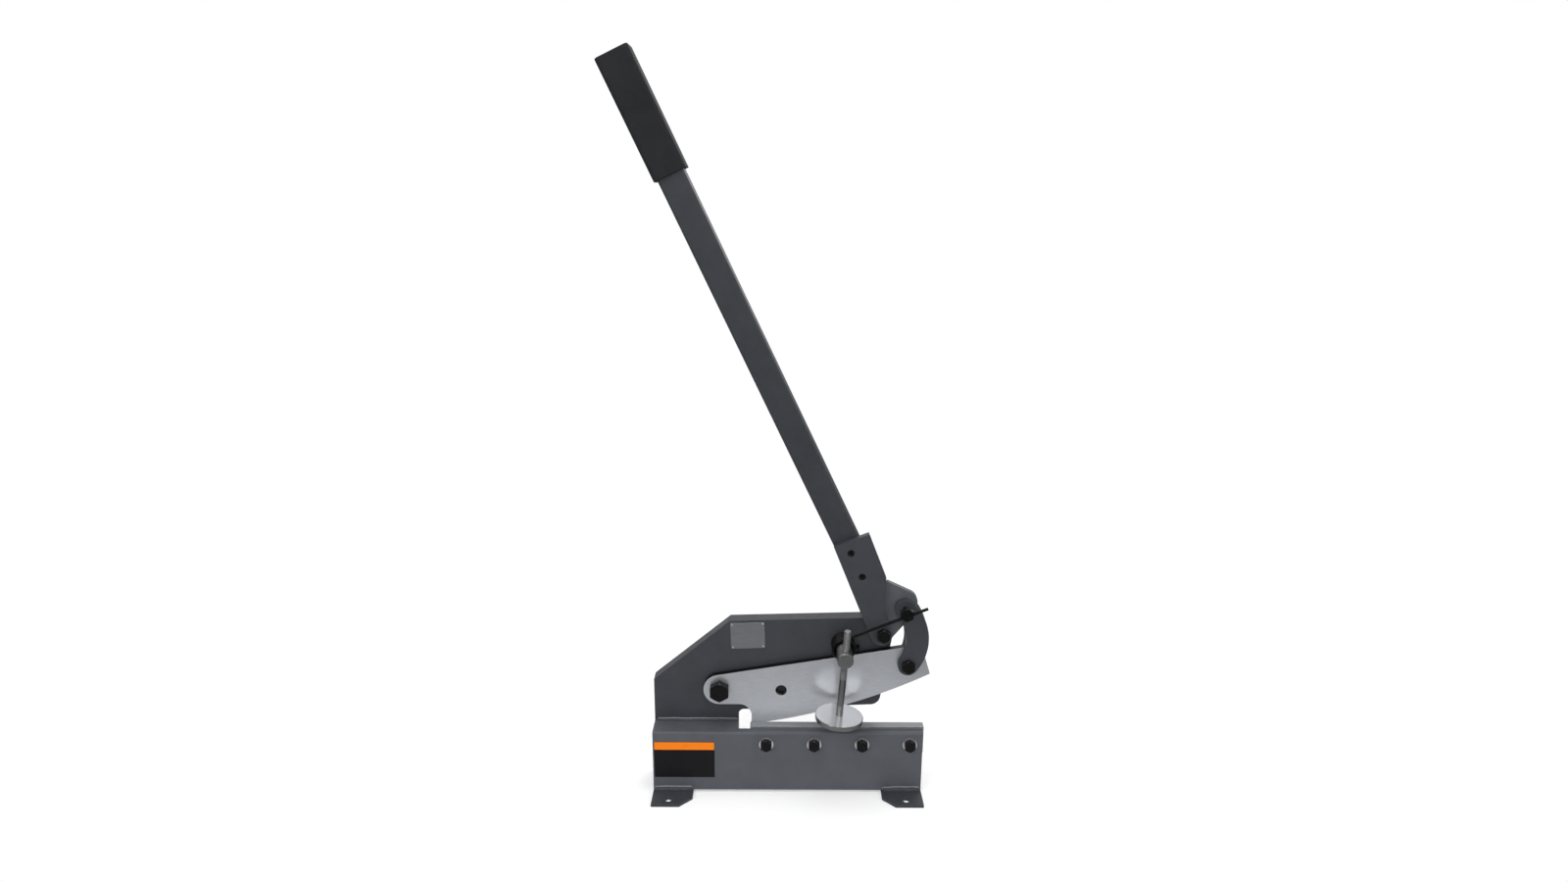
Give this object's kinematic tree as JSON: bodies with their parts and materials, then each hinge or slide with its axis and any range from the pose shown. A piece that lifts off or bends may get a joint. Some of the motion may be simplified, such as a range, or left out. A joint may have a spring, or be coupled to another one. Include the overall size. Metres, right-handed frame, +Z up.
{
  "type": "hand lever shear",
  "caption": "Bench shear worked by a long hand lever: frame plate on a footed base, straight blades, crescent links, return spring and a screw hold-down.",
  "frame": {"origin": "on the bench, at the centre of the base bolt holes", "axes": "+X right along the blades, +Y away from the user, +Z up"},
  "size_m": [0.543, 0.1763, 1.2386],
  "materials": {
    "frame_paint": "satin dark blue-grey paint",
    "blade_steel": "ground satin",
    "black_steel": "black oxide",
    "zinc_steel": "bright zinc",
    "hold_down_steel": "bright turned",
    "grip_rubber": "matt black"
  },
  "bodies": {
    "frame": {"base_angle": "frame_paint", "left_foot": "frame_paint", "right_foot": "frame_paint", "frame_plate": "frame_paint", "lower_blade": "blade_steel", "lower_blade_washer_1": "zinc_steel", "lower_blade_washer_2": "zinc_steel", "lower_blade_washer_3": "zinc_steel", "lower_blade_washer_4": "zinc_steel", "lower_blade_bolt_1": "black_steel", "lower_blade_bolt_2": "black_steel", "lower_blade_bolt_3": "black_steel", "lower_blade_bolt_4": "black_steel", "blade_pivot_bolt": "black_steel", "blade_pivot_nut": "black_steel", "lever_pivot_bolt": "black_steel", "lever_pivot_nut": "black_steel", "hold_down_shaft": "hold_down_steel", "hold_down_nut": "black_steel", "spring_anchor": "black_steel"},
    "blade": {"upper_blade": "blade_steel"},
    "lever": {"lever_bar": "frame_paint", "lever_ear": "frame_paint", "handle_tube": "frame_paint", "handle_grip": "grip_rubber", "handle_screw_1": "black_steel", "handle_screw_2": "black_steel"},
    "link": {"front_link": "frame_paint", "rear_link": "frame_paint", "upper_link_bolt": "black_steel", "lower_link_bolt": "black_steel", "upper_link_nut": "black_steel", "lower_link_nut": "black_steel"},
    "spring": {"return_spring": "black_steel"},
    "hold_down": {"hold_down_rod": "hold_down_steel", "hold_down_pad": "hold_down_steel"}
  },
  "joints": [
    {"name": "lever_swing", "type": "hinge", "parent": "frame", "child": "lever", "pos_m": [0.1625, 0, 0.293], "axis": [0, 1, 0], "range_deg": [0, 94], "stiffness_Nm_per_rad": 2.3, "springref_deg": -28.65},
    {"name": "blade_swing", "type": "hinge", "parent": "frame", "child": "blade", "pos_m": [-0.1195, 0, 0.1825], "axis": [0, 1, 0], "range_deg": [0, 14.6]},
    {"name": "link_swing", "type": "hinge", "parent": "blade", "child": "link", "pos_m": [0.207, 0, 0.2345], "axis": [0, 1, 0], "range_deg": [-8.95, 0]},
    {"name": "spring_swing", "type": "hinge", "parent": "frame", "child": "spring", "pos_m": [0.0946, 0, 0.27], "axis": [0, 1, 0], "range_deg": [0, 42.4]},
    {"name": "hold_down_screw", "type": "slide", "parent": "frame", "child": "hold_down", "axis": [0.0732, 0, 0.9973], "range_m": [-0.028, 0.075]}
  ],
  "couplings": [
    {"joint": "blade_swing", "follows": "lever_swing", "ratio": 0.155},
    {"joint": "link_swing", "follows": "lever_swing", "ratio": -0.095},
    {"joint": "spring_swing", "follows": "lever_swing", "ratio": 0.45}
  ]
}
